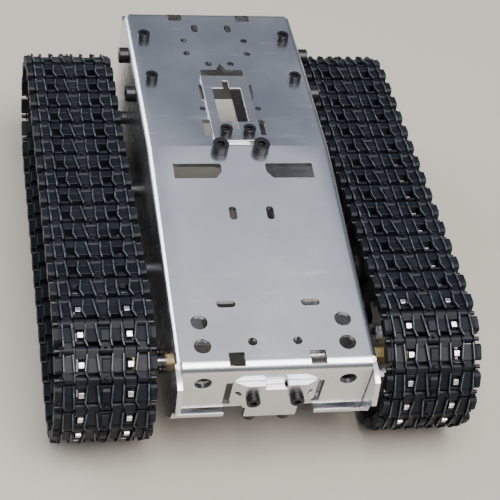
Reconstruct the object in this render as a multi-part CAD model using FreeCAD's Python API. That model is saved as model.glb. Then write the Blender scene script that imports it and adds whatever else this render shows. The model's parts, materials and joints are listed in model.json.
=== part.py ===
import FreeCAD, Part

import math
import os

from FreeCAD import Placement, Rotation, Vector

# Tracked robot chassis: a folded aluminium hull with a sloped nose, two geared motors, and a loop of
# hinged plastic links on each side.
# Frame: millimetres, +Z up, +X to the right when seen from the front, the nose points to -Y.
# The origin is on the ground under the middle of the whole object.

# ---- Driving dimensions ------------------------------------------------------------------------

# Hull, folded from one sheet
SHEET = 2.0
BODY_WIDTH = 77.5
DECK_TOP = 74.0            # height of the level rear deck
BEND_Y = 6.68              # where the level deck meets the sloped front deck
REAR_LENGTH = 96.5
FRONT_LENGTH = 111.0       # along the slope, up to the outer face of the nose flange
SLOPE = 8.3                # degrees that the front deck drops towards the nose
WALL_BOTTOM = 22.5
LIP_WIDTH = 20.9           # bottom and front lips folded inwards
EDGE_RADIUS = 3.0
NOSE_RADIUS = 4.5
FLANGE_HEIGHT = 25.0       # of the nose flange; the tail flange closes the whole end
FLANGE_SEAM = 0.3
WALL_OVERHANG = 8.8        # the side walls run past the nose flange by this much
LIP_FRONT = 97.0           # the bottom lips end this far in front of the bend

# Track
LINK_COUNT = 44
LINK_PITCH = 10.8
TEETH = 16
TRACK_X = 63.6             # middle of each track
LINK_HALF_WIDTH = 19.2
COLUMN = 4.6               # each link's outer face has seven columns of this width
TOOTH_X = 2 * COLUMN       # the two toothed rings run in the second and sixth columns
KNUCKLE_RADIUS = 2.6
PIN_RADIUS = 0.9
LINK_INNER = 2.7           # from the hinge line to the face that the wheels run on
SKIN_INNER = 2.7           # from the hinge line to the underside of the outer skin
SKIN_OUTER = 3.5
RIB_OUTER = 3.9

# Wheels
WHEEL_RADIUS = 22.5
WHEEL_HALF_WIDTH = 11.0
GROOVE_HALF_WIDTH = 3.0
GROOVE_RADIUS = 17.0
SPROCKET_Y = BEND_Y - 80.3
TOOTH_TIP_RADIUS = 29.6
TOOTH_THICKNESS = 2.2
HUB_RADIUS = 24.2
HUB_HALF_WIDTH = 8.1
RUN_GAP = 0.1              # between a wheel and the links that it rolls on
FIT = 0.05                 # radial clearance of running and screwed fits

# Motors
SHAFT_RADIUS = 1.5
GEARBOX = (9.0, 12.0, 10.0)
GEARBOX_BOSS = 2.5
MOTOR_LENGTH = 15.0

# ---- Derived sizes -----------------------------------------------------------------------------

HALF = BODY_WIDTH / 2
INNER_HALF = HALF - SHEET
PIN_CIRCLE = LINK_PITCH / 2 / math.sin(math.pi / TEETH)
PIN_LINE_Z = RIB_OUTER
SPROCKET_Z = PIN_LINE_Z + PIN_CIRCLE
ROAD_Z = PIN_LINE_Z + LINK_INNER + RUN_GAP + WHEEL_RADIUS
IDLER_PIN_CIRCLE = math.hypot(WHEEL_RADIUS + RUN_GAP + LINK_INNER, LINK_PITCH / 2)
IDLER_Z = PIN_LINE_Z + IDLER_PIN_CIRCLE
REAR_Y = BEND_Y + REAR_LENGTH
# The front deck's own frame: its top face is z = 0, the bend line is y = 0 and the nose is at -y.
FRONT_FRAME = Placement(Vector(0, BEND_Y, DECK_TOP), Rotation(Vector(1, 0, 0), SLOPE))
REAR_FRAME = Placement(Vector(0, BEND_Y, DECK_TOP), Rotation())

# Socket cap screws: thread radius, head radius, head height, socket flats
SCREW_SIZES = {
    "M1.6": (0.8, 1.5, 1.6, 1.5),
    "M3": (1.5, 2.75, 3.0, 2.5),
    "M4": (2.0, 3.5, 4.0, 3.0),
}
# Nuts: thread radius, flats, height
NUT_SIZES = {"M3": (1.5, 5.5, 2.4), "M4": (2.0, 7.0, 3.2)}


# ---- Shape helpers -----------------------------------------------------------------------------

def box(x_range, y_range, z_range):
    low = Vector(min(x_range), min(y_range), min(z_range))
    high = Vector(max(x_range), max(y_range), max(z_range))
    size = high - low
    return Part.makeBox(size.x, size.y, size.z, low)


def both_sides(x_range, y_range, z_range):
    mirrored = (-x_range[0], -x_range[1])
    return [box(x_range, y_range, z_range), box(mirrored, y_range, z_range)]


def cylinder(radius, start, end):
    axis = end - start
    return Part.makeCylinder(radius, axis.Length, start, axis)


def cross_cylinder(radius, x_range, y, z):
    return cylinder(radius, Vector(min(x_range), y, z), Vector(max(x_range), y, z))


def tube(outer, inner, start, end):
    return cylinder(outer, start, end).cut(cylinder(inner, start, end))


def prism(points, direction):
    wire = Part.makePolygon(points + [points[0]])
    return Part.Face(wire).extrude(direction)


def side_plate(profile, x_range):
    points = [Vector(min(x_range), y, z) for y, z in profile]
    return prism(points, Vector(max(x_range) - min(x_range), 0, 0))


def hexagon(flats, height, base=0.0):
    radius = flats / math.sqrt(3)
    points = []
    for corner in range(6):
        angle = math.radians(60 * corner)
        points.append(Vector(radius * math.cos(angle), radius * math.sin(angle), base))
    return prism(points, Vector(0, 0, height))


def stadium(x, y, width, length, depth):
    """A through slot that runs along Y, cut from z = -depth to z = +depth."""
    radius = width / 2
    reach = length / 2 - radius
    middle = box((x - radius, x + radius), (y - reach, y + reach), (-depth, depth))
    ends = []
    for end in (-reach, reach):
        ends.append(cylinder(radius, Vector(x, y + end, -depth), Vector(x, y + end, depth)))
    return middle.fuse(ends)


def turned(outline, x_centre, y, z):
    """A solid of revolution about an axis along X. The outline is (offset along X, radius)."""
    points = [Vector(x_centre + offset, y, z + radius) for offset, radius in outline]
    face = Part.Face(Part.makePolygon(points + [points[0]]))
    return face.revolve(Vector(x_centre, y, z), Vector(1, 0, 0), 360)


def merged(first, others):
    return first.fuse(others).removeSplitter()


def placed(shape, origin, direction):
    """Moves a shape drawn along +Z so that its +Z points along the direction given."""
    copy = shape.copy()
    copy.Placement = Placement(origin, Rotation(Vector(0, 0, 1), direction))
    return copy


def in_frame(shape, frame):
    copy = shape.copy()
    copy.Placement = frame.multiply(copy.Placement)
    return copy


def mirrored(shape):
    return shape.mirror(Vector(0, 0, 0), Vector(1, 0, 0))


def left_and_right(shapes):
    return shapes + [mirrored(shape) for shape in shapes]


def cap_screw(size, length):
    """Socket cap screw: the head stands on z = 0 and the shank hangs below it."""
    thread, head_radius, head_height, flats = SCREW_SIZES[size]
    head = Part.makeCylinder(head_radius, head_height)
    top_edge = [edge for edge in head.Edges if edge.BoundBox.ZMin > head_height - 0.01]
    head = head.makeChamfer(0.25, top_edge)
    socket = hexagon(flats, head_height, head_height / 2)
    shank = cylinder(thread, Vector(0, 0, -length), Vector(0, 0, 0.1))
    return head.cut(socket).fuse(shank)


def nut(size):
    """Hexagon nut that hangs below z = 0."""
    thread, flats, height = NUT_SIZES[size]
    hole = cylinder(thread + FIT, Vector(0, 0, -height - 1), Vector(0, 0, 1))
    return hexagon(flats, height, -height).cut(hole)


def washer(thread, outer, thickness):
    return tube(outer, thread + FIT, Vector(0, 0, -thickness), Vector(0, 0, 0))


def save(name, shapes):
    group = shapes[0] if len(shapes) == 1 else Part.Compound(shapes)
    group.exportStep(os.path.join("parts", name + ".step"))


# ---- Hull --------------------------------------------------------------------------------------

FRONT_SCREW_X, FRONT_SCREW_Y = 8.6, -2.1       # M4 bolts just in front of the bend
STIFFENER_X = 31.7                             # M3 screws through the deck
STIFFENER_Y = (44.9, 75.1)
SIDE_SCREW_Y = (42.3, 70.0)
SIDE_SCREW_Z = DECK_TOP - 5.8
SERVO_X = 4.95                                 # standard servo pattern, 9.9 by 49.5
SERVO_FRONT_Y, SERVO_REAR_Y = 6.8, 56.3
BRACKET_SCREW_X, BRACKET_SCREW_Z = 8.5, -15.3
GEARBOX_SCREW_OFFSET = 4.5


def channel(length):
    """The deck and side walls as one long channel along -Y, its top face at z = 0."""
    depth = DECK_TOP
    outer = box((-HALF, HALF), (-length, 0), (-depth, 0))
    inner = box((-INNER_HALF, INNER_HALF), (-length, 0), (-depth, -SHEET))
    solid = outer.cut(inner)
    corners = []
    for edge in solid.Edges:
        bounds = edge.BoundBox
        along = bounds.YLength > length - 0.01
        if along and bounds.ZMin > -0.01:
            corners.append(edge)
    return solid.makeFillet(EDGE_RADIUS, corners)


def front_wall(x_range):
    """Side wall beyond the deck: it overhangs the nose flange and has a chamfered outline."""
    end = -FRONT_LENGTH
    profile = [
        (end + 12, -EDGE_RADIUS),
        (end - 1.9, -EDGE_RADIUS),
        (end - 5.5, -4.2),
        (end - WALL_OVERHANG, -14.9),
        (end - 4.4, -21.1),
        (end - 3.8, -26.0),
        (end + 0.4, -31.0),
        (end + 4.0, -37.0),
        (end + 12, -37.0),
    ]
    return side_plate(profile, x_range)


def nose_strip(height):
    """The fold and the flange that hangs from it, in the front deck's frame."""
    half = INNER_HALF - FLANGE_SEAM
    centre_y = -FRONT_LENGTH + NOSE_RADIUS
    fold = tube(NOSE_RADIUS, NOSE_RADIUS - SHEET, Vector(-half, centre_y, -NOSE_RADIUS),
                Vector(half, centre_y, -NOSE_RADIUS))
    quarter = box((-half, half), (-FRONT_LENGTH, centre_y), (-NOSE_RADIUS, 0))
    flange = box((-half, half), (-FRONT_LENGTH, -FRONT_LENGTH + SHEET), (-height, -NOSE_RADIUS))
    return fold.common(quarter).fuse(flange)


def hull_blank():
    """Deck, walls, lips and flanges before any hole is cut."""
    front = in_frame(channel(FRONT_LENGTH - NOSE_RADIUS), FRONT_FRAME)
    rear = channel(REAR_LENGTH - NOSE_RADIUS)
    rear.rotate(Vector(0, 0, 0), Vector(0, 0, 1), 180)
    rear = in_frame(rear, REAR_FRAME)
    # The two channels meet on the plane that halves the angle of the bend.
    tilt = math.radians(SLOPE / 2)
    reach = 200.0
    ahead = prism([
        Vector(-reach, BEND_Y - reach * math.sin(tilt), DECK_TOP + reach * math.cos(tilt)),
        Vector(-reach, BEND_Y + reach * math.sin(tilt), DECK_TOP - reach * math.cos(tilt)),
        Vector(-reach, BEND_Y - 2 * reach, DECK_TOP - reach),
        Vector(-reach, BEND_Y - 2 * reach, DECK_TOP + reach),
    ], Vector(2 * reach, 0, 0))
    front = front.common(ahead)
    rear = rear.cut(ahead)
    nose = in_frame(nose_strip(FLANGE_HEIGHT), FRONT_FRAME)
    tail = nose_strip(DECK_TOP - WALL_BOTTOM - SHEET)
    tail.translate(Vector(0, FRONT_LENGTH - REAR_LENGTH, 0))
    tail.rotate(Vector(0, 0, 0), Vector(0, 0, 1), 180)
    tail = in_frame(tail, REAR_FRAME)
    walls = [in_frame(front_wall((side * INNER_HALF, side * HALF)), FRONT_FRAME) for side in (-1, 1)]
    tail_walls = both_sides((INNER_HALF, HALF), (REAR_Y - NOSE_RADIUS, REAR_Y + 1.0),
                            (WALL_BOTTOM, DECK_TOP - EDGE_RADIUS - 1))
    lips = both_sides((HALF - LIP_WIDTH, HALF), (BEND_Y - LIP_FRONT, REAR_Y),
                      (WALL_BOTTOM, WALL_BOTTOM + SHEET))
    front_lips = both_sides((HALF - LIP_WIDTH, HALF), (-FRONT_LENGTH - 1.6, -FRONT_LENGTH + 6.0),
                            (-FLANGE_HEIGHT - 2.4 - SHEET, -FLANGE_HEIGHT - 2.4))
    lips += [in_frame(lip, FRONT_FRAME) for lip in front_lips]
    blank = front.fuse([rear, nose, tail] + walls + tail_walls + lips)
    floor = box((-reach, reach), (-reach, reach), (-reach, WALL_BOTTOM))
    return blank.cut(floor).removeSplitter()


def front_deck_cuts():
    cuts = []
    for side in (-1, 1):
        slot = [(9.9, -9.7), (9.3, -10.4), (9.3, -14.0), (11.9, -17.6), (29.2, -17.6), (29.2, -9.7)]
        points = [Vector(side * x, y, -6) for x, y in slot]
        cuts.append(prism(points, Vector(0, 0, 12)))
        cuts.append(stadium(side * 7.65, -36.1, 3.1, 6.8, 6))
        transverse = stadium(0, 0, 3.2, 7.4, 6)
        transverse.Placement = Placement(Vector(side * 16.6, -80.9, 0), Rotation(Vector(0, 0, 1), 90))
        cuts.append(transverse)
        for x, y, radius in ((28.0, -89.1, 3.3), (28.0, -100.0, 3.3), (8.7, -98.6, 1.8)):
            cuts.append(cylinder(radius, Vector(side * x, y, -6), Vector(side * x, y, 6)))
        cuts.append(box((side * 12.5, side * 18.7), (SHEET - FRONT_LENGTH, -103.2), (-NOSE_RADIUS - 0.1, 6)))
        # Nose flange: a round hole near each end and an upright slot beside the bracket
        cuts.append(cylinder(3.3, Vector(side * 28.0, -120, -8.5), Vector(side * 28.0, -100, -8.5)))
        cuts.append(box((side * 15.9, side * 19.0), (-120, -100), (-23.2, -9.0)))
        cuts.append(cylinder(1.6, Vector(side * BRACKET_SCREW_X, -120, BRACKET_SCREW_Z),
                             Vector(side * BRACKET_SCREW_X, -100, BRACKET_SCREW_Z)))
        cuts.append(cylinder(2.15, Vector(side * FRONT_SCREW_X, FRONT_SCREW_Y, -6),
                             Vector(side * FRONT_SCREW_X, FRONT_SCREW_Y, 6)))
    return [in_frame(cut, FRONT_FRAME) for cut in cuts]


def rear_deck_cuts():
    cuts = [box((-9.3, 9.3), (11.0, 52.0), (-6, 6))]
    peak = [Vector(-2.4, 51.5, -6), Vector(2.4, 51.5, -6), Vector(0, 56.6, -6)]
    cuts.append(prism(peak, Vector(0, 0, 12)))
    for side in (-1, 1):
        cuts.append(box((side * 9.0, side * 11.6), (30.3, 41.2), (-6, 6)))
        cuts.append(box((side * 9.0, side * 13.4), (7.0, 17.2), (-6, 6)))
        cuts.append(stadium(side * 7.6, 82.8, 3.0, 5.4, 6))
        for x, y, radius in ((12.1, 24.8, 1.3), (13.65, 73.6, 1.55), (13.65, 64.0, 1.55),
                             (SERVO_X, SERVO_REAR_Y, 1.55), (SERVO_X, SERVO_FRONT_Y, 1.6),
                             (STIFFENER_X, STIFFENER_Y[0], 1.6), (STIFFENER_X, STIFFENER_Y[1], 1.6)):
            cuts.append(cylinder(radius, Vector(side * x, y, -6), Vector(side * x, y, 6)))
        # Tail flange: the same round holes as the nose
        cuts.append(cylinder(3.3, Vector(side * 28.0, REAR_LENGTH - 5, -8.5),
                             Vector(side * 28.0, REAR_LENGTH + 5, -8.5)))
        cuts.append(box((side * 12.5, side * 18.7), (REAR_LENGTH - 7.8, REAR_LENGTH - SHEET),
                        (-NOSE_RADIUS - 0.1, 6)))
    return [in_frame(cut, REAR_FRAME) for cut in cuts]


def wall_cuts(wheel_centres):
    cuts = []
    across = (-HALF - 5, HALF + 5)
    for y in SIDE_SCREW_Y:
        cuts.append(cross_cylinder(2.15, across, BEND_Y + y, SIDE_SCREW_Z))
    for y, z in wheel_centres:
        cuts.append(cross_cylinder(2.15, across, y, z))
    cuts.append(cross_cylinder(GEARBOX_BOSS + 0.1, across, SPROCKET_Y, SPROCKET_Z))
    for offset in (-GEARBOX_SCREW_OFFSET, GEARBOX_SCREW_OFFSET):
        cuts.append(cross_cylinder(0.9, across, SPROCKET_Y + offset, SPROCKET_Z))
    return cuts


def make_hull(wheel_centres):
    cuts = front_deck_cuts() + rear_deck_cuts() + wall_cuts(wheel_centres)
    return hull_blank().cut(cuts)


# ---- Deck fittings and fasteners ---------------------------------------------------------------

ADAPTER_THICKNESS = 1.2
STIFFENER_SHEET = 1.5
STIFFENER_LENGTH = (38.0, 80.0)
STIFFENER_WIDTH = 11.0
STIFFENER_HEIGHT = 12.0


def make_servo_adapter():
    """Thin plate over the large servo opening, with the window of a micro servo."""
    plate = box((-10.3, 10.3), (2.0, 46.3), (0, ADAPTER_THICKNESS))
    cuts = [
        box((-6.2, 6.2), (14.5, 37.4), (-1, 3)),
        box((-1.3, 1.3), (37.0, 42.5), (-1, 3)),
        box((-1.2, 1.2), (9.5, 15.0), (-1, 3)),
    ]
    for x in (-SERVO_X, SERVO_X):
        cuts.append(cylinder(1.6, Vector(x, SERVO_FRONT_Y, -1), Vector(x, SERVO_FRONT_Y, 3)))
    return in_frame(plate.cut(cuts), REAR_FRAME)


def upright(shape, x, y, z, frame):
    """Places a screw or nut drawn about +Z on the deck, at its left and right positions."""
    copies = []
    for side in (-1, 1):
        copy = shape.copy()
        copy.Placement = Placement(Vector(side * x, y, z), Rotation())
        copies.append(in_frame(copy, frame))
    return copies


def make_deck_fasteners():
    save("servo_adapter_screws",
         upright(cap_screw("M3", 8), SERVO_X, SERVO_FRONT_Y, ADAPTER_THICKNESS, REAR_FRAME))
    save("servo_adapter_nuts", upright(nut("M3"), SERVO_X, SERVO_FRONT_Y, -SHEET, REAR_FRAME))
    save("deck_bolts", upright(cap_screw("M4", 9), FRONT_SCREW_X, FRONT_SCREW_Y, 0, FRONT_FRAME))
    # These nuts hang a little lower because they reach past the bend line.
    bend_drop = math.tan(math.radians(SLOPE)) * (FRONT_SCREW_Y + 4.2)
    save("deck_nuts", upright(nut("M4"), FRONT_SCREW_X, FRONT_SCREW_Y, -SHEET - bend_drop, FRONT_FRAME))
    screws = []
    nuts = []
    for y in STIFFENER_Y:
        screws += upright(cap_screw("M3", 8), STIFFENER_X, y, 0, REAR_FRAME)
        nuts += upright(nut("M3"), STIFFENER_X, y, -SHEET - STIFFENER_SHEET - FIT, REAR_FRAME)
    save("stiffener_screws", screws)
    save("stiffener_nuts", nuts)
    side_screws = []
    for y in SIDE_SCREW_Y:
        screw = placed(cap_screw("M4", 4), Vector(HALF, BEND_Y + y, SIDE_SCREW_Z), Vector(1, 0, 0))
        side_screws.append(screw)
    save("side_screws", left_and_right(side_screws))


def make_stiffener():
    """Right-hand angle that ties the rear deck to the side wall from inside."""
    top = DECK_TOP - SHEET - FIT
    outer = INNER_HALF - FIT
    y_range = (BEND_Y + STIFFENER_LENGTH[0], BEND_Y + STIFFENER_LENGTH[1])
    flat_leg = box((outer - STIFFENER_WIDTH, outer), y_range, (top - STIFFENER_SHEET, top))
    wall_leg = box((outer - STIFFENER_SHEET, outer), y_range, (top - STIFFENER_HEIGHT, top))
    cuts = []
    for y in STIFFENER_Y:
        cuts.append(cylinder(1.6, Vector(STIFFENER_X, BEND_Y + y, top - 5),
                             Vector(STIFFENER_X, BEND_Y + y, top + 1)))
    for y in SIDE_SCREW_Y:
        cuts.append(cross_cylinder(2.0 + FIT, (outer - 3, outer + 1), BEND_Y + y, SIDE_SCREW_Z))
    return flat_leg.fuse(wall_leg).cut(cuts).removeSplitter()


# ---- Nose bracket ------------------------------------------------------------------------------

BRACKET_SHEET = 1.3
BRACKET_FACE = -113.6      # front of the bracket, in the front deck's frame
BRACKET_HALF = 11.6
BRACKET_NECK = 10.2        # half width of the face below its cheeks
BRACKET_TOP = -7.8
BRACKET_CHEEK_BOTTOM = -22.4
BRACKET_BOTTOM = -28.6
NOTCH_HALF = 4.2           # gap between the two top tabs
MIDDLE_TAB_TOP = -10.4
FLANGE_FACE = -FRONT_LENGTH - FIT
LOWER_SCREW_X, LOWER_SCREW_Y = 6.7, -109.4


def bracket_wing():
    """Slanted cheek on the right, with a small hole square to it."""
    foot = BRACKET_CHEEK_BOTTOM + 1.2
    outline = [(BRACKET_HALF, BRACKET_FACE), (16.6, FLANGE_FACE), (14.1, FLANGE_FACE),
               (BRACKET_HALF - 0.4, BRACKET_FACE + BRACKET_SHEET)]
    wing = prism([Vector(x, y, foot) for x, y in outline], Vector(0, 0, BRACKET_TOP - BRACKET_SHEET - foot))
    outward = Vector(0.454, -0.891, 0)
    centre = Vector(13.9, -112.3, -14.4)
    return wing.cut(cylinder(1.3, centre - outward * 4, centre + outward * 4))


def bracket_tab():
    """Right-hand top tab; its outer edge follows the slanted cheek."""
    outline = [(NOTCH_HALF, BRACKET_FACE), (BRACKET_HALF, BRACKET_FACE), (16.6, FLANGE_FACE),
               (NOTCH_HALF, FLANGE_FACE)]
    points = [Vector(x, y, BRACKET_TOP - BRACKET_SHEET) for x, y in outline]
    return prism(points, Vector(0, 0, BRACKET_SHEET))


def make_nose_bracket():
    inside = BRACKET_FACE + BRACKET_SHEET
    face = box((-BRACKET_HALF, BRACKET_HALF), (BRACKET_FACE, inside), (BRACKET_CHEEK_BOTTOM, BRACKET_TOP))
    notch = box((-NOTCH_HALF, NOTCH_HALF), (BRACKET_FACE - 1, inside + 1), (MIDDLE_TAB_TOP, 0))
    neck = box((-BRACKET_NECK, BRACKET_NECK), (BRACKET_FACE, inside), (BRACKET_BOTTOM, BRACKET_CHEEK_BOTTOM))
    middle_tab = box((-NOTCH_HALF + 0.6, NOTCH_HALF - 0.6), (BRACKET_FACE, FLANGE_FACE),
                     (MIDDLE_TAB_TOP - BRACKET_SHEET, MIDDLE_TAB_TOP))
    lip = box((-BRACKET_NECK, BRACKET_NECK), (BRACKET_FACE, -103.0),
              (BRACKET_BOTTOM, BRACKET_BOTTOM + BRACKET_SHEET))
    holes = []
    for side in (-1, 1):
        holes.append(cylinder(1.6, Vector(side * BRACKET_SCREW_X, BRACKET_FACE - 1, BRACKET_SCREW_Z),
                              Vector(side * BRACKET_SCREW_X, inside + 1, BRACKET_SCREW_Z)))
        holes.append(cylinder(1.5 + FIT, Vector(side * LOWER_SCREW_X, LOWER_SCREW_Y, BRACKET_BOTTOM - 1),
                              Vector(side * LOWER_SCREW_X, LOWER_SCREW_Y, BRACKET_BOTTOM + 2)))
    pieces = [neck, middle_tab, lip]
    for right_hand in (bracket_wing(), bracket_tab()):
        pieces += [right_hand, mirrored(right_hand)]
    body = face.cut(notch).fuse(pieces).cut(holes)
    return in_frame(body.removeSplitter(), FRONT_FRAME)


def make_bracket_fasteners():
    """Two screws through the bracket and flange over spacer tubes, and two under its lower lip."""
    face = Vector(BRACKET_SCREW_X, BRACKET_FACE, BRACKET_SCREW_Z)
    forward = Vector(0, -1, 0)
    screw = placed(cap_screw("M3", 8), face, forward)
    spacer = tube(2.5, 1.5 + FIT, Vector(face.x, BRACKET_FACE + BRACKET_SHEET + FIT, face.z),
                  Vector(face.x, FLANGE_FACE, face.z))
    back_nut = placed(nut("M3"), Vector(face.x, -FRONT_LENGTH + SHEET, face.z), forward)
    # Each lower screw has a nut between its head and the lip.
    lip_underside = Vector(LOWER_SCREW_X, LOWER_SCREW_Y, BRACKET_BOTTOM)
    lower_nut = placed(nut("M3"), lip_underside, Vector(0, 0, 1))
    head_seat = lip_underside - Vector(0, 0, NUT_SIZES["M3"][2])
    lower = placed(cap_screw("M3", 5), head_seat, Vector(0, 0, -1))
    for name, shapes in (("bracket_screws", [screw]), ("bracket_spacers", [spacer]),
                         ("bracket_nuts", [back_nut, lower_nut]), ("bracket_lower_screws", [lower])):
        save(name, left_and_right([in_frame(shape, FRONT_FRAME) for shape in shapes]))


# ---- Drive, drawn for the right-hand side ------------------------------------------------------

SHAFT_END = INNER_HALF + 10.0
COUPLING = (41.0, 61.0)
COUPLING_FLATS = 7.0
RETAINER_SEAT = TRACK_X + 2.5
DISC_INNER = HUB_HALF_WIDTH
DISC_OUTER = HUB_HALF_WIDTH + TOOTH_THICKNESS
DISC_BOLT_CIRCLE = 12.5


def on_axis(x):
    return Vector(x, SPROCKET_Y, SPROCKET_Z)


def around_axis(radius, angle, x):
    """A point on a circle about the sprocket axis; angle 0 is up and positive turns to the nose."""
    turn = math.radians(angle)
    return Vector(x, SPROCKET_Y - radius * math.sin(turn), SPROCKET_Z + radius * math.cos(turn))


def make_gearbox():
    length, width, height = GEARBOX
    outer = INNER_HALF - FIT
    body = box((outer - length, outer), (SPROCKET_Y - width / 2, SPROCKET_Y + width / 2),
               (SPROCKET_Z - height / 2, SPROCKET_Z + height / 2))
    boss = cylinder(GEARBOX_BOSS, on_axis(outer - 1), on_axis(HALF))
    cuts = [cylinder(SHAFT_RADIUS + FIT, on_axis(outer - 7), on_axis(HALF + 1))]
    for offset in (-GEARBOX_SCREW_OFFSET, GEARBOX_SCREW_OFFSET):
        cuts.append(cross_cylinder(0.8 + FIT, (outer - 3, outer + 1), SPROCKET_Y + offset, SPROCKET_Z))
    return body.fuse(boss).cut(cuts).removeSplitter()


def make_motor():
    """Motor can with two flats, a rear boss and two solder tags."""
    outer = INNER_HALF - GEARBOX[0] - 2 * FIT
    inner = outer - MOTOR_LENGTH
    height = GEARBOX[2]
    can = cylinder(GEARBOX[1] / 2, on_axis(inner), on_axis(outer))
    flats = box((inner, outer), (SPROCKET_Y - 8, SPROCKET_Y + 8),
                (SPROCKET_Z - height / 2, SPROCKET_Z + height / 2))
    parts = [cylinder(2.4, on_axis(inner - 1.2), on_axis(inner + 1))]
    for side in (-1, 1):
        parts.append(box((inner - 2.5, inner + 1), (SPROCKET_Y + side * 4.2, SPROCKET_Y + side * 4.6),
                         (SPROCKET_Z - 1.2, SPROCKET_Z + 1.2)))
    return merged(can.common(flats), parts)


def make_gearbox_screws():
    screws = []
    for offset in (-GEARBOX_SCREW_OFFSET, GEARBOX_SCREW_OFFSET):
        seat = Vector(HALF, SPROCKET_Y + offset, SPROCKET_Z)
        screws.append(placed(cap_screw("M1.6", 4), seat, Vector(1, 0, 0)))
    return left_and_right(screws)


def make_output_shaft():
    return cylinder(SHAFT_RADIUS, on_axis(INNER_HALF - 5), on_axis(SHAFT_END))


def make_coupling():
    bar = placed(hexagon(COUPLING_FLATS, COUPLING[1] - COUPLING[0]), on_axis(COUPLING[0]), Vector(1, 0, 0))
    shaft_bore = cylinder(SHAFT_RADIUS + FIT, on_axis(COUPLING[0] - 1), on_axis(SHAFT_END + 0.7))
    screw_bore = cylinder(1.5 + FIT, on_axis(COUPLING[1] - 8), on_axis(COUPLING[1] + 1))
    grub_bore = cylinder(1.5 + FIT, on_axis(COUPLING[0] + 3), on_axis(COUPLING[0] + 3) + Vector(0, 0, 6))
    return bar.cut([shaft_bore, screw_bore, grub_bore])


def make_grub_screw():
    foot = on_axis(COUPLING[0] + 3) + Vector(0, 0, SHAFT_RADIUS + FIT)
    return cylinder(1.5, foot, foot + Vector(0, 0, 2.2))


def make_sprocket_hub():
    """Spool with two rims that carry the links and a groove for their guide horns."""
    outline = [
        (-HUB_HALF_WIDTH, 0), (-HUB_HALF_WIDTH, HUB_RADIUS), (-GROOVE_HALF_WIDTH, HUB_RADIUS),
        (-GROOVE_HALF_WIDTH, GROOVE_RADIUS), (GROOVE_HALF_WIDTH, GROOVE_RADIUS),
        (GROOVE_HALF_WIDTH, HUB_RADIUS), (HUB_HALF_WIDTH, HUB_RADIUS), (HUB_HALF_WIDTH, 0),
    ]
    spool = turned(outline, TRACK_X, SPROCKET_Y, SPROCKET_Z)
    socket_depth = COUPLING[1] + 1.0 - (TRACK_X - HUB_HALF_WIDTH)
    socket = placed(hexagon(COUPLING_FLATS + 2 * FIT, socket_depth + 1),
                    on_axis(TRACK_X - HUB_HALF_WIDTH - 1), Vector(1, 0, 0))
    cuts = [
        socket,
        cylinder(1.6, on_axis(COUPLING[0]), on_axis(TRACK_X + HUB_HALF_WIDTH)),
        cylinder(4.2, on_axis(RETAINER_SEAT), on_axis(TRACK_X + HUB_HALF_WIDTH + 1)),
    ]
    cuts += disc_bolt_holes()
    return spool.cut(cuts)


def disc_bolt_holes():
    holes = []
    for quarter in range(4):
        start = around_axis(DISC_BOLT_CIRCLE, 90 * quarter, TRACK_X - 15)
        end = around_axis(DISC_BOLT_CIRCLE, 90 * quarter, TRACK_X + 15)
        holes.append(cylinder(1.6, start, end))
    return holes


def tooth(angle, x_range):
    """A straight-sided tooth that narrows to a small square tip."""
    turn = math.radians(angle)
    along = Vector(0, -math.sin(turn), math.cos(turn))
    across = Vector(0, math.cos(turn), math.sin(turn))
    centre = Vector(min(x_range), SPROCKET_Y, SPROCKET_Z)
    corners = []
    for half_width, radius in ((2.6, HUB_RADIUS - 2), (TOOTH_THICKNESS / 2, TOOTH_TIP_RADIUS),
                               (-TOOTH_THICKNESS / 2, TOOTH_TIP_RADIUS), (-2.6, HUB_RADIUS - 2)):
        corners.append(centre + along * radius + across * half_width)
    return prism(corners, Vector(TOOTH_THICKNESS, 0, 0))


def make_sprocket_discs(first_tooth_angle):
    discs = []
    for inner, outer in ((DISC_INNER, DISC_OUTER), (-DISC_OUTER, -DISC_INNER)):
        x_range = (TRACK_X + inner, TRACK_X + outer)
        plate = cylinder(HUB_RADIUS, on_axis(x_range[0]), on_axis(x_range[1]))
        teeth = []
        for number in range(TEETH):
            teeth.append(tooth(first_tooth_angle + 360.0 / TEETH * number, x_range))
        cuts = disc_bolt_holes()
        cuts.append(cylinder(4.5, on_axis(x_range[0] - 1), on_axis(x_range[1] + 1)))
        for quarter in range(4):
            start = around_axis(DISC_BOLT_CIRCLE + 1.5, 90 * quarter + 45, x_range[0] - 1)
            end = around_axis(DISC_BOLT_CIRCLE + 1.5, 90 * quarter + 45, x_range[1] + 1)
            cuts.append(cylinder(5.0, start, end))
        discs.append(merged(plate, teeth).cut(cuts))
    return discs


def make_disc_screws():
    screws = []
    for quarter in range(4):
        seat = around_axis(DISC_BOLT_CIRCLE, 90 * quarter, TRACK_X + DISC_OUTER)
        screws.append(placed(cap_screw("M3", 24), seat, Vector(1, 0, 0)))
    return screws


def make_disc_nuts():
    nuts = []
    for quarter in range(4):
        seat = around_axis(DISC_BOLT_CIRCLE, 90 * quarter, TRACK_X - DISC_OUTER)
        nuts.append(placed(nut("M3"), seat, Vector(1, 0, 0)))
    return nuts


def make_retainer():
    """Centre screw and its washer, which hold the hub on the coupling."""
    screw = placed(cap_screw("M3", 12), on_axis(RETAINER_SEAT + 0.5), Vector(1, 0, 0))
    disc = placed(washer(1.5, 3.5, 0.5), on_axis(RETAINER_SEAT + 0.5), Vector(1, 0, 0))
    return [screw, disc]


# ---- Plain wheels, drawn for the right-hand side -----------------------------------------------

BEARING_OUTER = 4.0
BEARING_WIDTH = 3.0
WEB_DISH = 4.0


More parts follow.
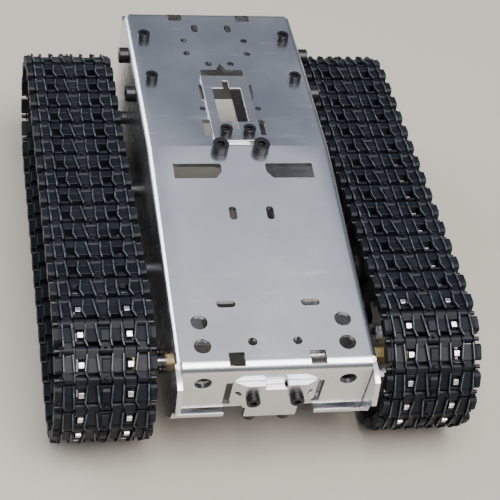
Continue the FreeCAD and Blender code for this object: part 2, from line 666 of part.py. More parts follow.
def make_wheel(y, z):
    """Twin-rim wheel with a dished web, six lightening holes and a bearing pocket in each face."""
    width, dish = WHEEL_HALF_WIDTH, WHEEL_HALF_WIDTH - WEB_DISH
    groove = GROOVE_HALF_WIDTH
    outline = [
        (-width, 2.6), (-width, 7.5), (-dish, 7.5), (-dish, 18.5), (-width, 18.5), (-width, WHEEL_RADIUS),
        (-groove, WHEEL_RADIUS), (-groove, GROOVE_RADIUS), (groove, GROOVE_RADIUS),
        (groove, WHEEL_RADIUS), (width, WHEEL_RADIUS), (width, 18.5), (dish, 18.5), (dish, 7.5),
        (width, 7.5), (width, 2.6),
    ]
    wheel = turned(outline, TRACK_X, y, z)
    cuts = []
    for side in (-1, 1):
        face = Vector(TRACK_X + side * (width + 1), y, z)
        floor = Vector(TRACK_X + side * (width - BEARING_WIDTH), y, z)
        cuts.append(cylinder(BEARING_OUTER + FIT, face, floor))
    for number in range(6):
        turn = math.radians(60 * number)
        hole_y = y + 12.5 * math.sin(turn)
        hole_z = z + 12.5 * math.cos(turn)
        cuts.append(cross_cylinder(3.2, (TRACK_X - 15, TRACK_X + 15), hole_y, hole_z))
    return wheel.cut(cuts)


def make_bearings(y, z):
    rings = []
    for side in (-1, 1):
        face = Vector(TRACK_X + side * WHEEL_HALF_WIDTH, y, z)
        floor = Vector(TRACK_X + side * (WHEEL_HALF_WIDTH - BEARING_WIDTH + FIT), y, z)
        rings.append(tube(BEARING_OUTER, 2.0 + FIT, face, floor))
    return rings


def make_axle_bolt(y, z):
    seat = Vector(TRACK_X + WHEEL_HALF_WIDTH + 0.6, y, z)
    length = seat.x - INNER_HALF + NUT_SIZES["M4"][2] + 1.0
    return placed(cap_screw("M4", length), seat, Vector(1, 0, 0))


def make_axle_washer(y, z):
    seat = Vector(TRACK_X + WHEEL_HALF_WIDTH + 0.6, y, z)
    return placed(washer(2.0, 3.1, 0.5), seat, Vector(1, 0, 0))


def make_axle_spacer(y, z):
    return tube(3.0, 2.0 + FIT, Vector(HALF, y, z), Vector(TRACK_X - WHEEL_HALF_WIDTH - 0.1, y, z))


def make_axle_nut(y, z):
    return placed(nut("M4"), Vector(INNER_HALF, y, z), Vector(1, 0, 0))


# ---- Track -------------------------------------------------------------------------------------

def loop_curve(idler_y):
    """The line that the hinge pins follow: nose arc, ground run, tail arc and top run."""
    distance = idler_y - SPROCKET_Y
    height = IDLER_Z - SPROCKET_Z
    span = math.hypot(distance, height)
    lean = math.atan2(height, distance) + math.asin((IDLER_PIN_CIRCLE - PIN_CIRCLE) / span)
    top_angle = lean
    straight = math.sqrt(span ** 2 - (PIN_CIRCLE - IDLER_PIN_CIRCLE) ** 2)
    nose_arc = PIN_CIRCLE * (math.pi - top_angle)
    tail_arc = IDLER_PIN_CIRCLE * (math.pi + top_angle)
    lengths = (nose_arc, distance, tail_arc, straight)

    def point(travel):
        """Hinge position (y, z) after this much travel forwards from the top of the sprocket."""
        travel %= sum(lengths)
        if travel < lengths[0]:
            turn = top_angle + travel / PIN_CIRCLE
            return (SPROCKET_Y - PIN_CIRCLE * math.sin(turn), SPROCKET_Z + PIN_CIRCLE * math.cos(turn))
        travel -= lengths[0]
        if travel < lengths[1]:
            return (SPROCKET_Y + travel, SPROCKET_Z - PIN_CIRCLE)
        travel -= lengths[1]
        if travel < lengths[2]:
            turn = math.pi + travel / IDLER_PIN_CIRCLE
            return (idler_y - IDLER_PIN_CIRCLE * math.sin(turn), IDLER_Z + IDLER_PIN_CIRCLE * math.cos(turn))
        travel -= lengths[2]
        start_y = idler_y - IDLER_PIN_CIRCLE * math.sin(top_angle)
        start_z = IDLER_Z + IDLER_PIN_CIRCLE * math.cos(top_angle)
        return (start_y - travel * math.cos(top_angle), start_z - travel * math.sin(top_angle))

    return point, sum(lengths), top_angle


def walk_links(idler_y):
    """Steps round the loop one link at a time. Returns the hinge points and the closing error."""
    point, total, top_angle = loop_curve(idler_y)
    travel = math.radians(180.0 / TEETH) * PIN_CIRCLE
    start = travel
    hinges = [point(travel)]
    for _ in range(LINK_COUNT):
        low, high = travel + LINK_PITCH * 0.9, travel + LINK_PITCH * 1.2
        for _ in range(50):
            middle = (low + high) / 2
            y, z = point(middle)
            if math.hypot(y - hinges[-1][0], z - hinges[-1][1]) < LINK_PITCH:
                low = middle
            else:
                high = middle
        travel = low
        hinges.append(point(travel))
    return hinges[:-1], travel - start - total, math.degrees(top_angle)


def solve_idler():
    """Tensions the track: finds the idler position at which the whole number of links closes."""
    low, high = SPROCKET_Y + 120.0, SPROCKET_Y + 190.0
    for _ in range(50):
        middle = (low + high) / 2
        if walk_links(middle)[1] > 0:
            low = middle
        else:
            high = middle
    return low


def make_link():
    """One link about the middle of its hinge line: +Y is the way it travels, +Z faces outwards."""
    half_pitch = LINK_PITCH / 2
    main_half = 3.5 * COLUMN
    core_half = half_pitch - KNUCKLE_RADIUS - 0.4
    gap = 0.2
    core = box((-LINK_HALF_WIDTH, LINK_HALF_WIDTH), (-core_half, core_half), (-LINK_INNER, KNUCKLE_RADIUS))
    pieces = [box((-main_half, main_half), (-half_pitch + 0.3, half_pitch - 0.3), (SKIN_INNER, SKIN_OUTER)),
              box((-main_half, main_half), (-core_half, core_half), (KNUCKLE_RADIUS - 0.1, SKIN_OUTER))]
    front_knuckles = [(-COLUMN / 2 + gap, COLUMN / 2 - gap)]
    rear_knuckles = []
    for side in (-1, 1):
        front_knuckles.append((side * (2.5 * COLUMN + gap), side * (main_half - gap / 2)))
        rear_knuckles.append((side * (0.5 * COLUMN + gap), side * (1.5 * COLUMN)))
        rear_knuckles.append((side * (main_half + gap / 2), side * LINK_HALF_WIDTH))
    for knuckles, direction in ((front_knuckles, 1), (rear_knuckles, -1)):
        for x_range in knuckles:
            pieces.append(cross_cylinder(KNUCKLE_RADIUS, x_range, direction * half_pitch, 0))
            pieces.append(box(x_range, (direction * (core_half - 0.1), direction * half_pitch),
                              (-KNUCKLE_RADIUS, KNUCKLE_RADIUS)))
    for boundary in range(8):
        x = (boundary - 3.5) * COLUMN
        pieces.append(box((x - 0.25, x + 0.25), (-half_pitch + 0.3, half_pitch - 0.3),
                          (SKIN_OUTER - 0.1, RIB_OUTER)))
    pieces.append(box((-1.5, 1.5), (-3.4, 3.4), (SKIN_OUTER - 0.1, RIB_OUTER)))
    horn = [(-1.9, -LINK_INNER + 0.1), (1.9, -LINK_INNER + 0.1), (0.9, -6.9), (-0.9, -6.9)]
    pieces.append(side_plate(horn, (-1.6, 1.6)))
    cuts = []
    for side in (-1, 1):
        channel_range = (side * (TOOTH_X - 2.0), side * (TOOTH_X + 2.0))
        cuts.append(box(channel_range, (-20, 20), (-10, SKIN_INNER)))
        cuts.append(box((side * (TOOTH_X - 1.8), side * (TOOTH_X + 1.8)), (-2.2, 2.2), (0, 10)))
        cuts.append(box((side * (main_half + 0.1), side * 30),
                        (-core_half - 0.1, core_half + 0.1), (1.2, 10)))
    for direction in (-1, 1):
        cuts.append(cross_cylinder(PIN_RADIUS + FIT, (-30, 30), direction * half_pitch, 0))
    return merged(core, pieces).cut(cuts)


def link_placements(hinges):
    placements = []
    for number, (y, z) in enumerate(hinges):
        next_y, next_z = hinges[(number + 1) % len(hinges)]
        middle = Vector(TRACK_X, (y + next_y) / 2, (z + next_z) / 2)
        turn = math.degrees(math.atan2(next_z - z, next_y - y))
        placements.append(Placement(middle, Rotation(Vector(1, 0, 0), turn)))
    return placements


def make_track(hinges):
    """The links and the three short pins in each hinge, for the right-hand side."""
    # The loop is walked with the nose arc going down, so the outside of a link is its -Z side.
    link = make_link()
    link.rotate(Vector(0, 0, 0), Vector(0, 1, 0), 180)
    links = []
    for placement in link_placements(hinges):
        copy = link.copy()
        copy.Placement = placement.multiply(copy.Placement)
        links.append(copy)
    main_half = 3.5 * COLUMN
    pin_spans = [(-1.5 * COLUMN + 0.2, 1.5 * COLUMN - 0.2)]
    for side in (-1, 1):
        pin_spans.append((side * (2.5 * COLUMN + 0.4), side * (LINK_HALF_WIDTH - 0.2)))
    pins = []
    for y, z in hinges:
        for start, end in pin_spans:
            pins.append(cross_cylinder(PIN_RADIUS, (TRACK_X + start, TRACK_X + end), y, z))
    return links, pins


# ---- Assembly ----------------------------------------------------------------------------------

def main():
    os.makedirs("parts", exist_ok=True)
    idler_y = solve_idler()
    hinges, _, top_angle = walk_links(idler_y)
    spacing = (idler_y - SPROCKET_Y - TOOTH_TIP_RADIUS - WHEEL_RADIUS - 2.0) / 2
    wheels = {
        "idler": (idler_y, IDLER_Z),
        "rear_road_wheel": (idler_y - spacing, ROAD_Z),
        "front_road_wheel": (idler_y - 2 * spacing, ROAD_Z),
    }
    centres = list(wheels.values())

    save("hull_shell", [make_hull(centres)])
    save("servo_adapter_plate", [make_servo_adapter()])
    make_deck_fasteners()
    save("nose_bracket", [make_nose_bracket()])
    make_bracket_fasteners()
    save("gearbox_screws", make_gearbox_screws())

    drive = {
        "stiffener": [make_stiffener()],
        "gearbox": [make_gearbox()],
        "motor": [make_motor()],
        "output_shaft": [make_output_shaft()],
        "hex_coupling": [make_coupling()],
        "coupling_grub_screw": [make_grub_screw()],
        "sprocket_hub": [make_sprocket_hub()],
        "sprocket_discs": make_sprocket_discs(top_angle),
        "sprocket_disc_screws": make_disc_screws(),
        "sprocket_disc_nuts": make_disc_nuts(),
        "sprocket_retainer": make_retainer(),
    }
    for name, (y, z) in wheels.items():
        drive[name] = [make_wheel(y, z)]
        drive[name + "_bearings"] = make_bearings(y, z)
    drive["track_links"], drive["track_pins"] = make_track(hinges)
    for name, shapes in drive.items():
        save("right_" + name, shapes)
        save("left_" + name, [mirrored(shape) for shape in shapes])

    for name, make in (("axle_bolts", make_axle_bolt), ("axle_washers", make_axle_washer),
                       ("axle_spacers", make_axle_spacer), ("axle_nuts", make_axle_nut)):
        save(name, left_and_right([make(y, z) for y, z in centres]))
    print("idler_y %.4f idler_z %.4f road_z %.4f spacing %.4f top_angle %.3f" % (
        idler_y, IDLER_Z, ROAD_Z, spacing, top_angle))
    print("sprocket_y %.4f sprocket_z %.4f" % (SPROCKET_Y, SPROCKET_Z))


main()
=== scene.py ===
import json
import math

import bmesh
import bpy
from mathutils import Matrix, Vector


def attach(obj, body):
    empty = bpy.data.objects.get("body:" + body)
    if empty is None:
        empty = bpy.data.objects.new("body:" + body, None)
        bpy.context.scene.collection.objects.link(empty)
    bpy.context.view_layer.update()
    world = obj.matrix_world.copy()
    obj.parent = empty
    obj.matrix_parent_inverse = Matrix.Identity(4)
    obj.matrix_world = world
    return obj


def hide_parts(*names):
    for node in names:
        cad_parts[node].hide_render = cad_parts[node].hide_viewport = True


# Tracked robot chassis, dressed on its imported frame. Metres, +Z up, the nose points to -Y.

# ---- Camera ------------------------------------------------------------------------------------

CAMERA_PLACE = Vector((-0.12849, -0.47542, 0.47530))
CAMERA_RIGHT = Vector((0.97826, -0.16144, 0.13017))
CAMERA_UP = Vector((0.01717, 0.68860, 0.72494))
CAMERA_LENS = 110.8
SENSOR_WIDTH = 36.0

# ---- Edge rounding, in metres ------------------------------------------------------------------

SHEET_EDGE = 0.00018
PLASTIC_EDGE = 0.00022
SCREW_EDGE = 0.00012
EDGE_SEGMENTS = 2
SHARP_ANGLE = math.radians(32)
FLAT_ANGLE = math.radians(0.5)
WELD_REACH = 0.000002
FLAT_WEIGHT = 60           # above 50, the normals lean towards the larger faces

# ---- Track link, in millimetres ----------------------------------------------------------------
# In a link's own frame X is the world's X, Y points back along the track and Z points outwards.
# The hinge pins lie on Z = 0 at Y = +HALF_PITCH and -HALF_PITCH.

MM = 0.001
HALF_PITCH = 5.4
TRACK_X = 63.6
LINK_EDGE = 0.13           # how far the sharp edges are cut back
SAME_POINT = 1e-6          # vertices closer than this, in metres, are one

# The bar between the two rows of barrels, and the cells' floors on it, which rise towards the front
BODY_HALF = 2.8
BODY_END = 16.1
INNER_FACE = -2.7          # the face that the wheels run on
BODY_TOP = 0.5
FLOOR_BASE = -1.0
FLOOR_BACK, FLOOR_FRONT = 1.5, 2.4
FLOOR_REACH = 0.6          # the floors run on behind the bar

# Windows for the sprocket's teeth, with a cross bar at each end and a sill at each side
WINDOW_INNER, WINDOW_OUTER = 7.3, 11.1
WINDOW_HALF = 2.3
CROSS_BAR_END = BODY_HALF + 0.7
CROSS_BAR_Z = (-1.9, FLOOR_FRONT - 0.5)
SILL_INNER, SILL_OUTER = 6.6, 11.8

# Hinge barrels and their x ranges, all mirrored except for the middle one
BARREL_RADIUS = 1.75
BARREL_STEPS = 8           # flats on the round half of a barrel
BARREL_ROOT = 0.9 * BODY_HALF          # where a barrel's arm starts, inside the bar
MIDDLE_BARREL = (-2.1, 2.1)
FRONT_BARREL = (11.7, 15.9)
BACK_BARREL = (2.5, 6.9)
WINDOW_BARREL = (7.1, 11.3)
END_BARREL = 17.0          # the outermost barrel stops here and leaves a notch beyond it

# Ribs: thin walls with a kink, whose tops rise from the back to the kink and fall again to the front
RIB_THICKNESS = 0.7
RIB_BASE = 1.5
RIB_BACK_TOP, RIB_KINK_TOP = 2.9, 3.88
RIB_DROP = 0.8
RIB_TOP_SIDE = 2           # which of a rib's four long faces is its top, painted lighter as a highlight
HIGHLIGHT_INDEX = 1             # the track's second material: a painted highlight on the rib tops
RIB_Y = (4.3, -2.3, -4.9)  # the back, the kink and the front
# The x of each rib at the back, the kink and the front. They zigzag from link to link.
RIB_LINES = [
    (-15.8, -15.8, -15.6), (-12.3, -12.0, -11.8), (-7.0, -7.9, -6.6), (-3.4, -2.7, -1.9),
    (2.5, 1.9, 2.4), (6.5, 6.2, 6.9), (11.9, 10.9, 12.4), (15.8, 15.8, 15.8),
]

# Small prisms across the track: half widths or x ranges, and profiles as (y, z) points
PAD_HALF = 1.5
PAD_PROFILE = [(-2.6, 2.0), (2.6, 1.8), (2.6, 2.2), (1.6, 3.0), (-2.6, 3.0)]
BOSS_HALF = 0.55
BOSS_PROFILE = [(-5.6, 2.2), (-4.2, 2.2), (-4.4, 3.3), (-5.4, 3.3)]
END_BLOCK = (16.4, 19.1)
END_PROFILE = [(-3.0, -1.7), (3.5, -1.7), (3.5, 1.9), (2.5, 2.9), (-2.0, 2.9), (-3.0, 1.9)]
END_NECK = 15.9            # from here to the end block the bar is a little thinner
END_NECK_Z = (-2.3, 2.0)
GRIP = (16.9, 17.5)
GRIP_PROFILE = [(-2.4, 2.5), (2.4, 2.5), (2.0, 3.1), (-1.8, 3.4)]
HORN_HALF = 1.6
HORN_ROOT = INNER_FACE + 0.5
HORN_TIP = -6.8
HORN_PROFILE = [(-1.9, HORN_ROOT), (1.9, HORN_ROOT), (0.9, HORN_TIP), (-0.9, HORN_TIP)]

# ---- Studio, in metres and watts ----------------------------------------------------------------

FLOOR_SIZE = 14.0
FLOOR_COLOUR = (0.47, 0.425, 0.36, 1.0)
FLOOR_ROUGHNESS = 0.9
SKY_STRENGTH = 0.9
# Colour of the surroundings against the upward part of the direction, from level to overhead
SKY = (
    (0.0, (0.50, 0.50, 0.50, 1.0)),
    (0.08, (0.10, 0.10, 0.10, 1.0)),
    (0.56, (0.22, 0.24, 0.29, 1.0)),
    (0.70, (0.26, 0.29, 0.37, 1.0)),
    (0.84, (0.76, 0.81, 0.90, 1.0)),
    (1.0, (0.95, 0.95, 0.95, 1.0)),
)
# Soft rectangular lights: name, place, target, size, power and colour
LIGHTS = (
    ("overhead", (0.15, -0.62, 1.4), (0, 0, 0), (1.2, 1.3), 44, (1.0, 0.99, 0.97)),
    ("left", (-1.3, 0.95, 0.75), (0, 0, 0.04), (1.3, 0.9), 26, (0.82, 0.91, 1.0)),
)


# ---- Node helpers ------------------------------------------------------------------------------

class Surface:
    """A material with a Principled shader and short ways to add nodes to it."""

    def __init__(self, name):
        self.material = bpy.data.materials.new(name)
        self.material.use_nodes = True
        self.tree = self.material.node_tree
        self.shader = self.tree.nodes["Principled BSDF"]
        self.place = self.tree.nodes.new("ShaderNodeTexCoord").outputs["Object"]

    def link(self, source, target):
        self.tree.links.new(source, target)

    def set(self, name, value):
        self.shader.inputs[name].default_value = value

    def mapped(self, scale):
        node = self.tree.nodes.new("ShaderNodeMapping")
        node.inputs["Scale"].default_value = scale
        self.link(self.place, node.inputs["Vector"])
        return node.outputs["Vector"]

    def noise(self, scale, detail, rough=0.6, stretch=(1, 1, 1)):
        node = self.tree.nodes.new("ShaderNodeTexNoise")
        node.inputs["Scale"].default_value = scale
        node.inputs["Detail"].default_value = detail
        node.inputs["Roughness"].default_value = rough
        self.link(self.mapped(stretch), node.inputs["Vector"])
        return node.outputs["Fac"]

    def ramp(self, source, low, high, low_value, high_value):
        """Maps low..high to low_value..high_value, held flat outside."""
        node = self.tree.nodes.new("ShaderNodeMapRange")
        node.inputs["From Min"].default_value = low
        node.inputs["From Max"].default_value = high
        node.inputs["To Min"].default_value = low_value
        node.inputs["To Max"].default_value = high_value
        self.link(source, node.inputs["Value"])
        return node.outputs["Result"]

    def blend(self, amount, low, high):
        """A colour between the colours low and high."""
        node = self.tree.nodes.new("ShaderNodeMix")
        node.data_type = "RGBA"
        self.link(amount, node.inputs["Factor"])
        for value, name in ((low, "A"), (high, "B")):
            socket = [s for s in node.inputs if s.name == name and s.type == "RGBA"][0]
            socket.default_value = value
        return [s for s in node.outputs if s.type == "RGBA"][0]

    def add(self, first, second):
        node = self.tree.nodes.new("ShaderNodeMath")
        node.operation = "ADD"
        self.link(first, node.inputs[0])
        self.link(second, node.inputs[1])
        return node.outputs[0]

    def bump(self, height, depth, strength):
        node = self.tree.nodes.new("ShaderNodeBump")
        node.inputs["Distance"].default_value = depth
        node.inputs["Strength"].default_value = strength
        self.link(height, node.inputs["Height"])
        self.link(node.outputs["Normal"], self.shader.inputs["Normal"])


# ---- Materials ---------------------------------------------------------------------------------
# Noise scales are in cycles per metre and bump depths are in metres.

def brushed_sheet(name, colour, rough):
    """Rolled aluminium sheet: fine lines along Y, cloudy patches and a few rub marks."""
    s = Surface(name)
    lines = s.noise(900, detail=3, stretch=(1, 0.02, 1))
    clouds = s.noise(22, detail=5)
    rubs = s.noise(260, detail=2, stretch=(0.15, 1, 1))
    darker = tuple(c * 0.90 for c in colour[:3]) + (1.0,)
    s.link(s.blend(s.ramp(clouds, 0.35, 0.7, 0, 1), darker, colour), s.shader.inputs["Base Color"])
    s.set("Metallic", 1.0)
    patch = s.ramp(clouds, 0.3, 0.7, rough - 0.05, rough + 0.06)
    marks = s.ramp(rubs, 0.62, 0.75, 0.0, 0.08)
    s.link(s.add(patch, marks), s.shader.inputs["Roughness"])
    s.bump(lines, 0.00003, 0.55)
    return s.material


def turned_metal(name, colour, rough, metallic=1.0):
    """Small machined or plated parts: fine noise in gloss, slight colour drift."""
    s = Surface(name)
    grain = s.noise(1500, detail=3)
    drift = s.noise(180, detail=3)
    lighter = tuple(min(1.0, c * 1.25) for c in colour[:3]) + (1.0,)
    s.link(s.blend(s.ramp(drift, 0.4, 0.7, 0, 1), colour, lighter), s.shader.inputs["Base Color"])
    s.set("Metallic", metallic)
    s.link(s.ramp(grain, 0.3, 0.7, rough - 0.06, rough + 0.08), s.shader.inputs["Roughness"])
    s.bump(grain, 0.00002, 0.4)
    return s.material


def moulded_plastic(name, colour, rough, grain_depth, shine=0.5, patches=70, contrast=1.7):
    """Injection-moulded plastic with a fine spark texture, dust and scuffs; with a high contrast, the
    lighter patches are a painted highlight.
    """
    s = Surface(name)
    grain = s.noise(2600, detail=2)
    dust_and_sheen = s.noise(patches, detail=6, rough=0.7)
    # Lighter patches: dust, and on the rib tops a painted highlight
    lighter = tuple(c * contrast + 0.004 for c in colour[:3]) + (1.0,)
    s.link(s.blend(s.ramp(dust_and_sheen, 0.45, 0.75, 0, 1), colour, lighter), s.shader.inputs["Base Color"])
    s.link(s.ramp(dust_and_sheen, 0.3, 0.7, rough - 0.05, rough + 0.10), s.shader.inputs["Roughness"])
    s.set("Specular IOR Level", shine)
    s.bump(grain, grain_depth, 0.5)
    return s.material


def floor_material():
    s = Surface("floor_paper")
    s.set("Base Color", FLOOR_COLOUR)
    s.set("Roughness", FLOOR_ROUGHNESS)
    return s.material


# ---- Dressing the CAD nodes --------------------------------------------------------------------

def round_edges(piece, width):
    """Merges flat faces and rounds the sharp edges between them, or only splits those edges."""
    weld = piece.modifiers.new("weld", "WELD")
    weld.merge_threshold = WELD_REACH
    flats = piece.modifiers.new("flats", "DECIMATE")
    flats.decimate_type = "DISSOLVE"
    flats.angle_limit = FLAT_ANGLE
    if piece.name in TIGHT_CORNERS:
        crisp = piece.modifiers.new("edges", "EDGE_SPLIT")
        crisp.split_angle = SHARP_ANGLE
    else:
        bevel = piece.modifiers.new("edges", "BEVEL")
        bevel.width = width
        bevel.segments = EDGE_SEGMENTS
        bevel.limit_method = "ANGLE"
        bevel.angle_limit = SHARP_ANGLE
        bevel.use_clamp_overlap = False
    smooth = piece.modifiers.new("normals", "WEIGHTED_NORMAL")
    smooth.keep_sharp = False
    smooth.weight = FLAT_WEIGHT
    for polygon in piece.data.polygons:
        polygon.use_smooth = True


def paint(piece, material):
    piece.data.materials.clear()
    piece.data.materials.append(material)


# ---- Track -------------------------------------------------------------------------------------

def add_prism(mesh, outline, shift):
    """A closed prism: the outline's points, and the same points moved by shift."""
    near = [mesh.verts.new(p) for p in outline]
    far = [mesh.verts.new(p + shift) for p in outline]
    mesh.faces.new(near)
    mesh.faces.new(list(reversed(far)))
    for i in range(len(near)):
        j = (i + 1) % len(near)
        mesh.faces.new((near[j], near[i], far[i], far[j]))


def add_side_prism(mesh, x_range, profile):
    """A prism across the track from a (y, z) profile."""
    low, high = min(x_range), max(x_range)
    add_prism(mesh, [Vector((low, y, z)) for y, z in profile], Vector((high - low, 0, 0)))


def add_block(mesh, x_range, y_range, z_range):
    (y0, y1), (z0, z1) = y_range, z_range
    add_side_prism(mesh, x_range, [(y0, z0), (y1, z0), (y1, z1), (y0, z1)])


def add_barrel(mesh, x_range, y, arm_to):
    """Hinge barrel with its arm, as one profile: round outside, square towards the link's body."""
    away = math.copysign(1, y)
    profile = [(arm_to, -BARREL_RADIUS)]
    for step in range(BARREL_STEPS + 1):
        angle = math.pi * step / BARREL_STEPS
        profile.append((y + away * BARREL_RADIUS * math.sin(angle), -BARREL_RADIUS * math.cos(angle)))
    profile.append((arm_to, BARREL_RADIUS))
    add_side_prism(mesh, x_range, profile)


def add_rib(mesh, line):
    """A rib along one of RIB_LINES, as two walls that meet at the kink."""
    half = RIB_THICKNESS / 2
    tops = (RIB_BACK_TOP, RIB_KINK_TOP, RIB_KINK_TOP - RIB_DROP)
    places = list(zip(line, RIB_Y, tops))
    for wall in (places[:2], places[1:]):
        corners = []
        for x, y, top in wall:
            outline = [(x - half, RIB_BASE), (x + half, RIB_BASE), (x + half, top), (x - half, top)]
            corners.append([mesh.verts.new((across, y, up)) for across, up in outline])
        first, last = corners
        mesh.faces.new(first)
        mesh.faces.new(list(reversed(last)))
        for i in range(4):
            j = (i + 1) % 4
            side = mesh.faces.new((first[j], first[i], last[i], last[j]))
            # The top face gets the lighter material, a painted highlight
            if i == RIB_TOP_SIDE:
                side.material_index = HIGHLIGHT_INDEX


def add_cell_floor(mesh, x_range):
    back = BODY_HALF + FLOOR_REACH
    add_side_prism(mesh, x_range, [(-BODY_HALF, FLOOR_BASE), (back, FLOOR_BASE),
                                   (back, FLOOR_BACK), (-BODY_HALF, FLOOR_FRONT)])


def mirrored(x_range, side):
    return tuple(side * x for x in x_range)


def link_mesh():
    """One track link, in metres, with its sharp edges slightly cut back."""
    mesh = bmesh.new()
    body = (-BODY_HALF, BODY_HALF)
    window = (-WINDOW_HALF, WINDOW_HALF)
    sill_z = (INNER_FACE, FLOOR_FRONT)
    solid_spans = [(-WINDOW_INNER, WINDOW_INNER)]
    for side in (-1, 1):
        solid_spans.append(mirrored((WINDOW_OUTER, BODY_END), side))
        for y_range in ((-CROSS_BAR_END, -WINDOW_HALF), (WINDOW_HALF, CROSS_BAR_END)):
            add_block(mesh, mirrored((WINDOW_INNER, WINDOW_OUTER), side), y_range, CROSS_BAR_Z)
        add_barrel(mesh, mirrored(WINDOW_BARREL, side), HALF_PITCH, BODY_HALF)
        add_block(mesh, mirrored((SILL_INNER, WINDOW_INNER), side), window, sill_z)
        add_block(mesh, mirrored((WINDOW_OUTER, SILL_OUTER), side), window, sill_z)
    for span in solid_spans:
        add_block(mesh, span, body, (INNER_FACE, BODY_TOP))
        add_cell_floor(mesh, span)
    add_barrel(mesh, MIDDLE_BARREL, -HALF_PITCH, -BARREL_ROOT)
    for side in (-1, 1):
        add_barrel(mesh, mirrored(FRONT_BARREL, side), -HALF_PITCH, -BARREL_ROOT)
        add_barrel(mesh, mirrored(BACK_BARREL, side), HALF_PITCH, BARREL_ROOT)
    for line in RIB_LINES:
        add_rib(mesh, line)
    add_side_prism(mesh, (-PAD_HALF, PAD_HALF), PAD_PROFILE)
    add_side_prism(mesh, (-BOSS_HALF, BOSS_HALF), BOSS_PROFILE)
    for side in (-1, 1):
        add_barrel(mesh, mirrored((END_BLOCK[0], END_BARREL), side), HALF_PITCH, -BODY_HALF)
        add_block(mesh, mirrored((END_NECK, END_BLOCK[0]), side), body, END_NECK_Z)
        add_side_prism(mesh, mirrored(END_BLOCK, side), END_PROFILE)
        add_side_prism(mesh, mirrored(GRIP, side), GRIP_PROFILE)
    add_side_prism(mesh, (-HORN_HALF, HORN_HALF), HORN_PROFILE)
    bmesh.ops.recalc_face_normals(mesh, faces=mesh.faces)
    sharp = [e for e in mesh.edges if e.calc_face_angle(0) > SHARP_ANGLE]
    bmesh.ops.bevel(mesh, geom=sharp, offset=LINK_EDGE, segments=1, affect="EDGES", clamp_overlap=True)
    bmesh.ops.scale(mesh, vec=(MM, MM, MM), verts=mesh.verts)
    data = bpy.data.meshes.new("link")
    mesh.to_mesh(data)
    mesh.free()
    return data


def hinge_points(node):
    """Centres (y, z) of a track's pins, in order round the loop.

    A hinge has three short pins. Only the one on the track's middle line is counted.
    """
    mesh = bmesh.new()
    mesh.from_mesh(node.data)
    bmesh.ops.remove_doubles(mesh, verts=mesh.verts, dist=SAME_POINT)
    seen = set()
    points = []
    for start in mesh.verts:
        if start in seen:
            continue
        island = []
        waiting = [start]
        seen.add(start)
        while waiting:
            vertex = waiting.pop()
            island.append(vertex.co)
            for edge in vertex.link_edges:
                other = edge.other_vert(vertex)
                if other not in seen:
                    seen.add(other)
                    waiting.append(other)
        low = [min(co[axis] for co in island) for axis in range(3)]
        high = [max(co[axis] for co in island) for axis in range(3)]
        if abs(abs(low[0] + high[0]) / 2 - TRACK_X * MM) < MM:
            points.append(((low[1] + high[1]) / 2, (low[2] + high[2]) / 2))
    mesh.free()
    middle_y = sum(y for y, _ in points) / len(points)
    middle_z = sum(z for _, z in points) / len(points)
    return sorted(points, key=lambda p: math.atan2(p[1] - middle_z, p[0] - middle_y))


def make_track(side, sign):
    """All the links of one track as one piece. The hinges come from the frame's own pins."""
    hinges = hinge_points(frame["nodes"][side + "_track_pins"])
    link = link_mesh()
    track = bmesh.new()
    for i, (y0, z0) in enumerate(hinges):
        y1, z1 = hinges[(i + 1) % len(hinges)]
        back = Vector((0, y0 - y1, z0 - z1)).normalized()
        across = Vector((1, 0, 0))
        out = across.cross(back)
        turn = Matrix((across, back, out)).transposed().to_4x4()
        centre = Vector((sign * TRACK_X * MM, (y0 + y1) / 2, (z0 + z1) / 2))
        copy = link.copy()
        copy.transform(Matrix.Translation(centre) @ turn)
        track.from_mesh(copy)
        bpy.data.meshes.remove(copy)
    data = bpy.data.meshes.new(side + "_track")
    data.materials.append(SLOT_MATERIALS["track_plastic"])
    data.materials.append(RIB_HIGHLIGHT_PLASTIC)
    track.to_mesh(data)
    track.free()
    piece = bpy.data.objects.new(side + "_track", data)
    bpy.context.scene.collection.objects.link(piece)
    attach(piece, "chassis")
    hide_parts(side + "_track_links")


# Rib tops much lighter than the track, in random patches: a painted highlight
RIB_HIGHLIGHT_PLASTIC = moulded_plastic("track_rib_highlight", (0.03, 0.035, 0.046, 1.0), 0.40, 0.00002,
                               patches=330, contrast=4.5)
PIN_STEEL = turned_metal("greasy_pin_steel", (0.045, 0.045, 0.048, 1.0), 0.45)
DULL_SLEEVE = turned_metal("dull_sleeve", (0.16, 0.16, 0.17, 1.0), 0.50)
SLOT_MATERIALS = {
    "hull_aluminium": brushed_sheet("hull_sheet", (0.80, 0.81, 0.84, 1.0), 0.25),
    "bracket_aluminium": brushed_sheet("bracket_sheet", (0.76, 0.76, 0.78, 1.0), 0.30),
    "tooth_aluminium": turned_metal("tooth_metal", (0.86, 0.87, 0.88, 1.0), 0.30),
    "black_steel": turned_metal("black_oxide", (0.022, 0.022, 0.025, 1.0), 0.28, metallic=0.6),
    "zinc_steel": turned_metal("zinc_plate", (0.56, 0.57, 0.58, 1.0), 0.32),
    "motor_metal": turned_metal("motor_nickel", (0.62, 0.61, 0.58, 1.0), 0.28),
    "brass": turned_metal("brass_bar", (0.55, 0.41, 0.20, 1.0), 0.36),
    "wheel_plastic": moulded_plastic("wheel_nylon", (0.016, 0.016, 0.018, 1.0), 0.42, 0.00004),
    "track_plastic": moulded_plastic("track_nylon", (0.006, 0.0075, 0.011, 1.0), 0.42, 0.00003, 0.2),
}
# Nodes that look duller than the rest of their slot
NODE_MATERIALS = {
    "left_track_pins": PIN_STEEL,
    "right_track_pins": PIN_STEEL,
    "axle_spacers": DULL_SLEEVE,
}
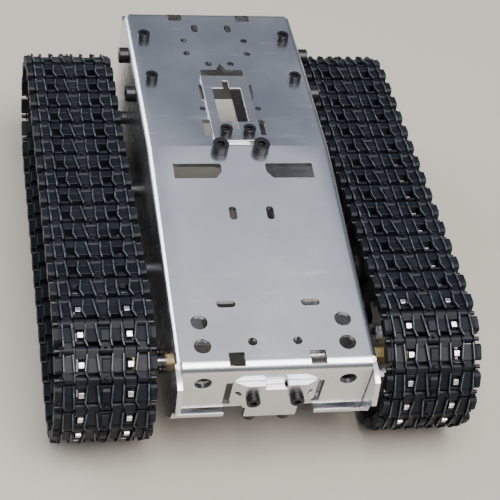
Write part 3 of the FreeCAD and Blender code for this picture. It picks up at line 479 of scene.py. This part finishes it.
# Nodes with corners so tight that rounding would grow spikes there: their edges stay sharp
TIGHT_CORNERS = ("hull_shell",)
SLOT_EDGES = {
    "hull_aluminium": SHEET_EDGE,
    "bracket_aluminium": SHEET_EDGE,
    "tooth_aluminium": SHEET_EDGE,
    "wheel_plastic": PLASTIC_EDGE,
    "track_plastic": PLASTIC_EDGE,
}


def dress_nodes():
    slots = {part["node"]: part["material_slot"] for part in frame["record"]["subparts"]}
    for name, piece in frame["nodes"].items():
        slot = slots[name]
        paint(piece, NODE_MATERIALS.get(name, SLOT_MATERIALS[slot]))
        round_edges(piece, SLOT_EDGES.get(slot, SCREW_EDGE))


# ---- Studio ------------------------------------------------------------------------------------

def make_floor():
    mesh = bpy.data.meshes.new("floor")
    half = FLOOR_SIZE / 2
    mesh.from_pydata([(-half, -half, 0), (half, -half, 0), (half, half, 0), (-half, half, 0)], [],
                     [(0, 1, 2, 3)])
    floor = bpy.data.objects.new("floor", mesh)
    bpy.context.scene.collection.objects.link(floor)
    paint(floor, floor_material())


def make_area_light(name, place, target, size, power, colour):
    data = bpy.data.lights.new(name, "AREA")
    data.shape = "RECTANGLE"
    data.size, data.size_y = size
    data.energy = power
    data.color = colour
    lamp = bpy.data.objects.new(name, data)
    lamp.location = place
    aim = Vector(target) - Vector(place)
    lamp.rotation_euler = aim.to_track_quat("-Z", "Y").to_euler()
    bpy.context.scene.collection.objects.link(lamp)


def make_world():
    """Soft surroundings: a pale band at eye level, dark above it, and bright towards the ceiling."""
    world = bpy.data.worlds.new("studio")
    bpy.context.scene.world = world
    world.use_nodes = True
    tree = world.node_tree
    place = tree.nodes.new("ShaderNodeTexCoord")
    split = tree.nodes.new("ShaderNodeSeparateXYZ")
    ramp = tree.nodes.new("ShaderNodeValToRGB")
    tree.links.new(place.outputs["Generated"], split.inputs["Vector"])
    tree.links.new(split.outputs["Z"], ramp.inputs["Fac"])
    tree.links.new(ramp.outputs["Color"], tree.nodes["Background"].inputs["Color"])
    stops = ramp.color_ramp.elements
    stops[0].position, stops[0].color = SKY[0]
    stops[1].position, stops[1].color = SKY[-1]
    for position, colour in SKY[1:-1]:
        stop = stops.new(position)
        stop.color = colour
    tree.nodes["Background"].inputs["Strength"].default_value = SKY_STRENGTH


def make_camera():
    data = bpy.data.cameras.new("camera")
    data.lens = CAMERA_LENS
    data.sensor_width = SENSOR_WIDTH
    camera = bpy.data.objects.new("camera", data)
    back = CAMERA_RIGHT.cross(CAMERA_UP)
    turn = Matrix((CAMERA_RIGHT, CAMERA_UP, back)).transposed()
    camera.matrix_world = Matrix.Translation(CAMERA_PLACE) @ turn.to_4x4()
    bpy.context.scene.collection.objects.link(camera)
    bpy.context.scene.camera = camera


# ---- Main --------------------------------------------------------------------------------------

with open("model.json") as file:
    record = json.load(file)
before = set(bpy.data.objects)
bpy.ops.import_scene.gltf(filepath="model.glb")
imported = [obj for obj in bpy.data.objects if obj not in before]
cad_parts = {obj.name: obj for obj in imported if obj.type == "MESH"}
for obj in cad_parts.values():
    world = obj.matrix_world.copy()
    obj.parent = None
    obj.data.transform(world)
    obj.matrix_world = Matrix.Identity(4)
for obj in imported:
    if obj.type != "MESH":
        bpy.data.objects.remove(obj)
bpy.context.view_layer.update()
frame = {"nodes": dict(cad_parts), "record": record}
dress_nodes()
make_track("left", -1)
make_track("right", 1)
make_floor()
make_world()
for light in LIGHTS:
    make_area_light(*light)
make_camera()
